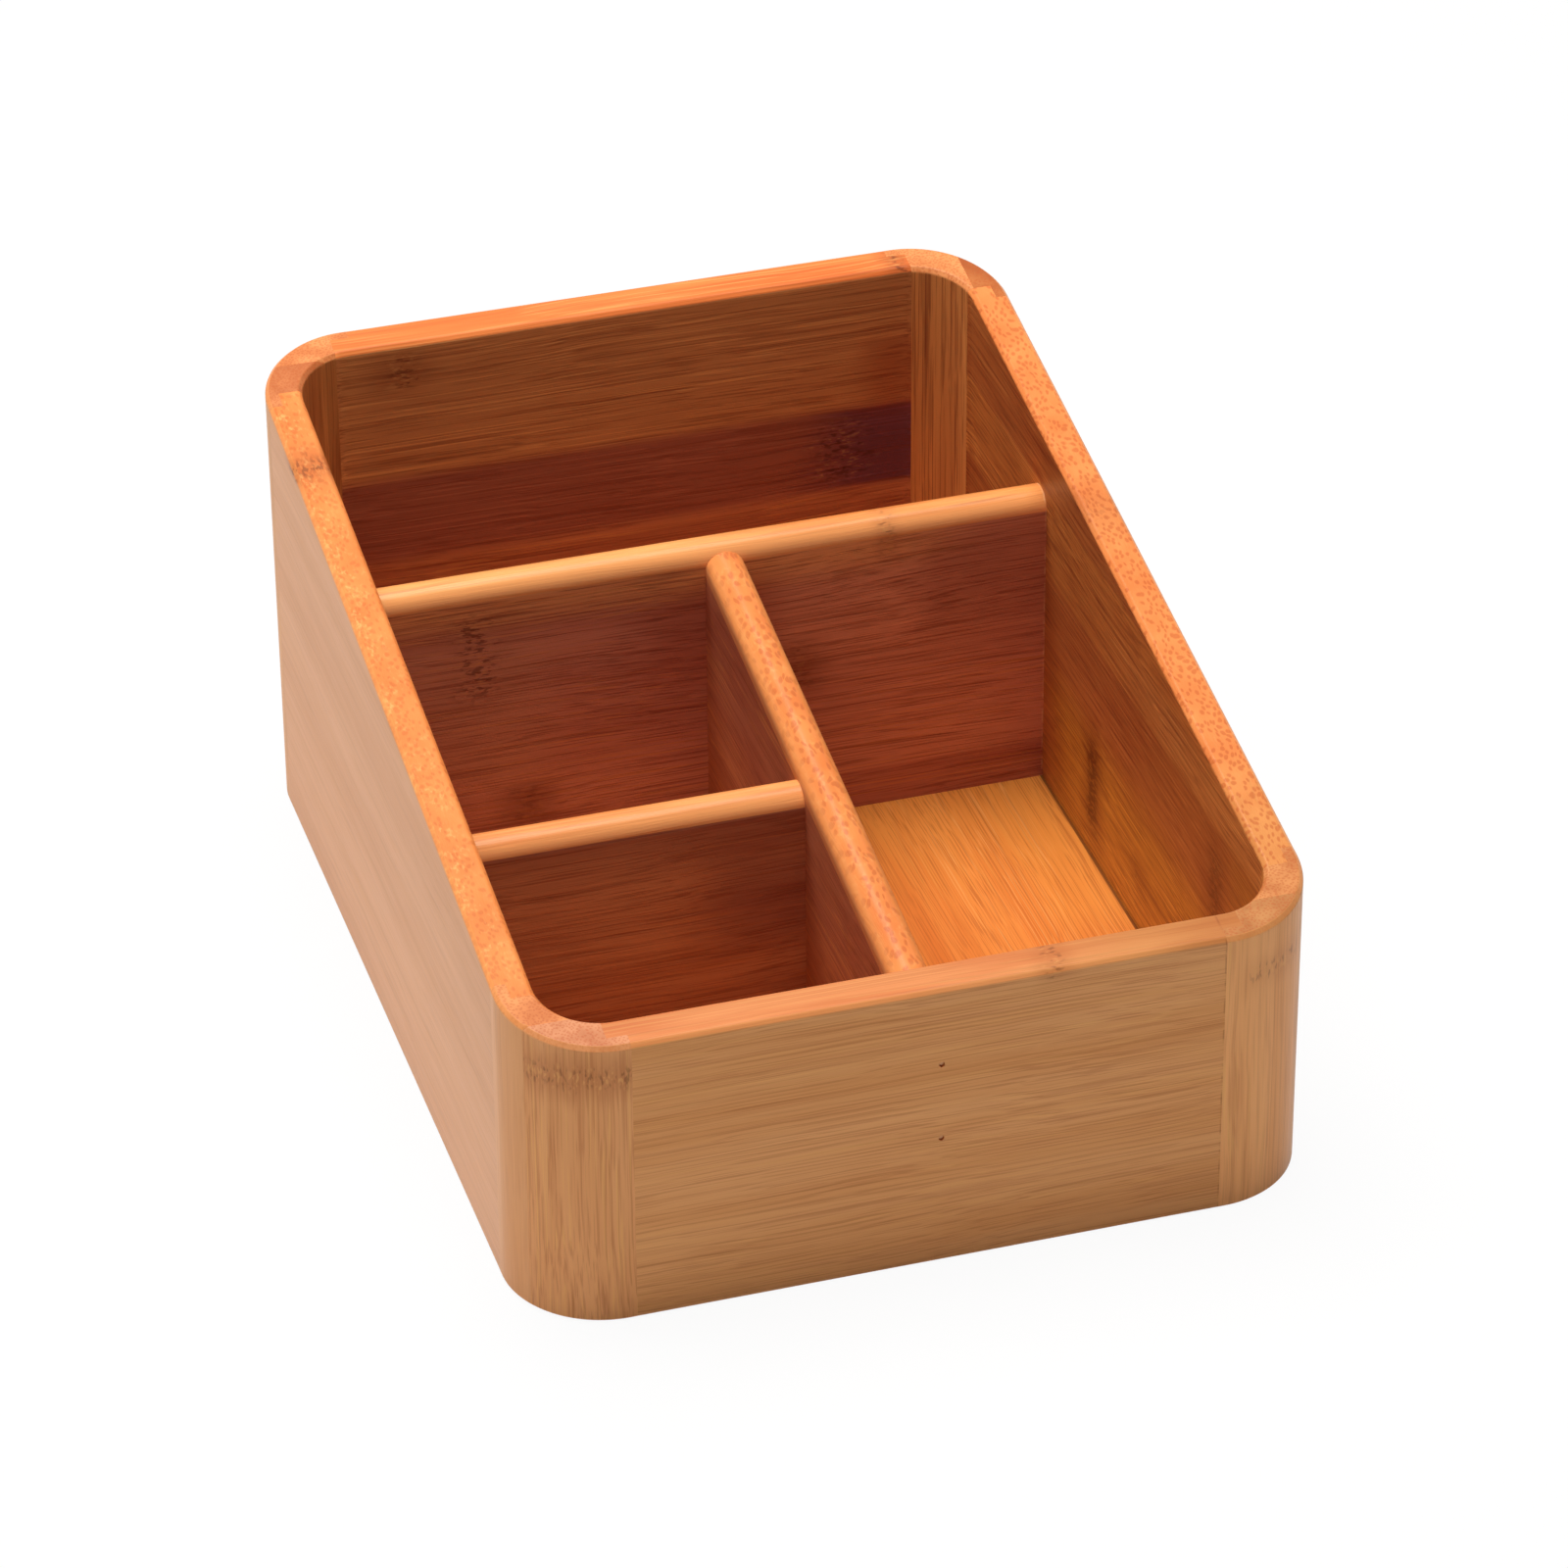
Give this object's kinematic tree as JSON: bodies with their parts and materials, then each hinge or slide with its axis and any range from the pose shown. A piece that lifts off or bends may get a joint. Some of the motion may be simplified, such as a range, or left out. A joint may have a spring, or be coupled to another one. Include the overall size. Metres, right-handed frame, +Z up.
{
  "type": "vanity organizer",
  "caption": "Open-topped bamboo vanity organizer with rounded corner posts, a rim that slopes down to the front, and fixed dividers that part it into bins for brushes, jars and small things.",
  "frame": {"origin": "middle of the box's footprint, on the surface that it stands on", "axes": "+X to the right as seen from the low front, +Y to the high back, +Z up"},
  "size_m": [0.152, 0.206, 0.0953],
  "materials": {
    "bamboo_across": "satin lacquer",
    "bamboo_lengthwise": "satin lacquer",
    "bamboo_upright": "satin lacquer",
    "pin_steel": "dull"
  },
  "bodies": {
    "root": {"front_panel": "bamboo_across", "back_panel": "bamboo_across", "cross_divider": "bamboo_across", "short_divider": "bamboo_across", "left_side_panel": "bamboo_lengthwise", "right_side_panel": "bamboo_lengthwise", "long_divider": "bamboo_lengthwise", "bottom_panel": "bamboo_lengthwise", "front_left_post_front_strip": "bamboo_upright", "front_left_post_side_strip": "bamboo_upright", "front_right_post_front_strip": "bamboo_upright", "front_right_post_side_strip": "bamboo_upright", "back_left_post_back_strip": "bamboo_upright", "back_left_post_side_strip": "bamboo_upright", "back_right_post_side_strip": "bamboo_upright", "back_right_post_back_strip": "bamboo_upright", "front_pins": "pin_steel", "cross_divider_pins": "pin_steel", "long_divider_pins": "pin_steel"}
  },
  "joints": []
}
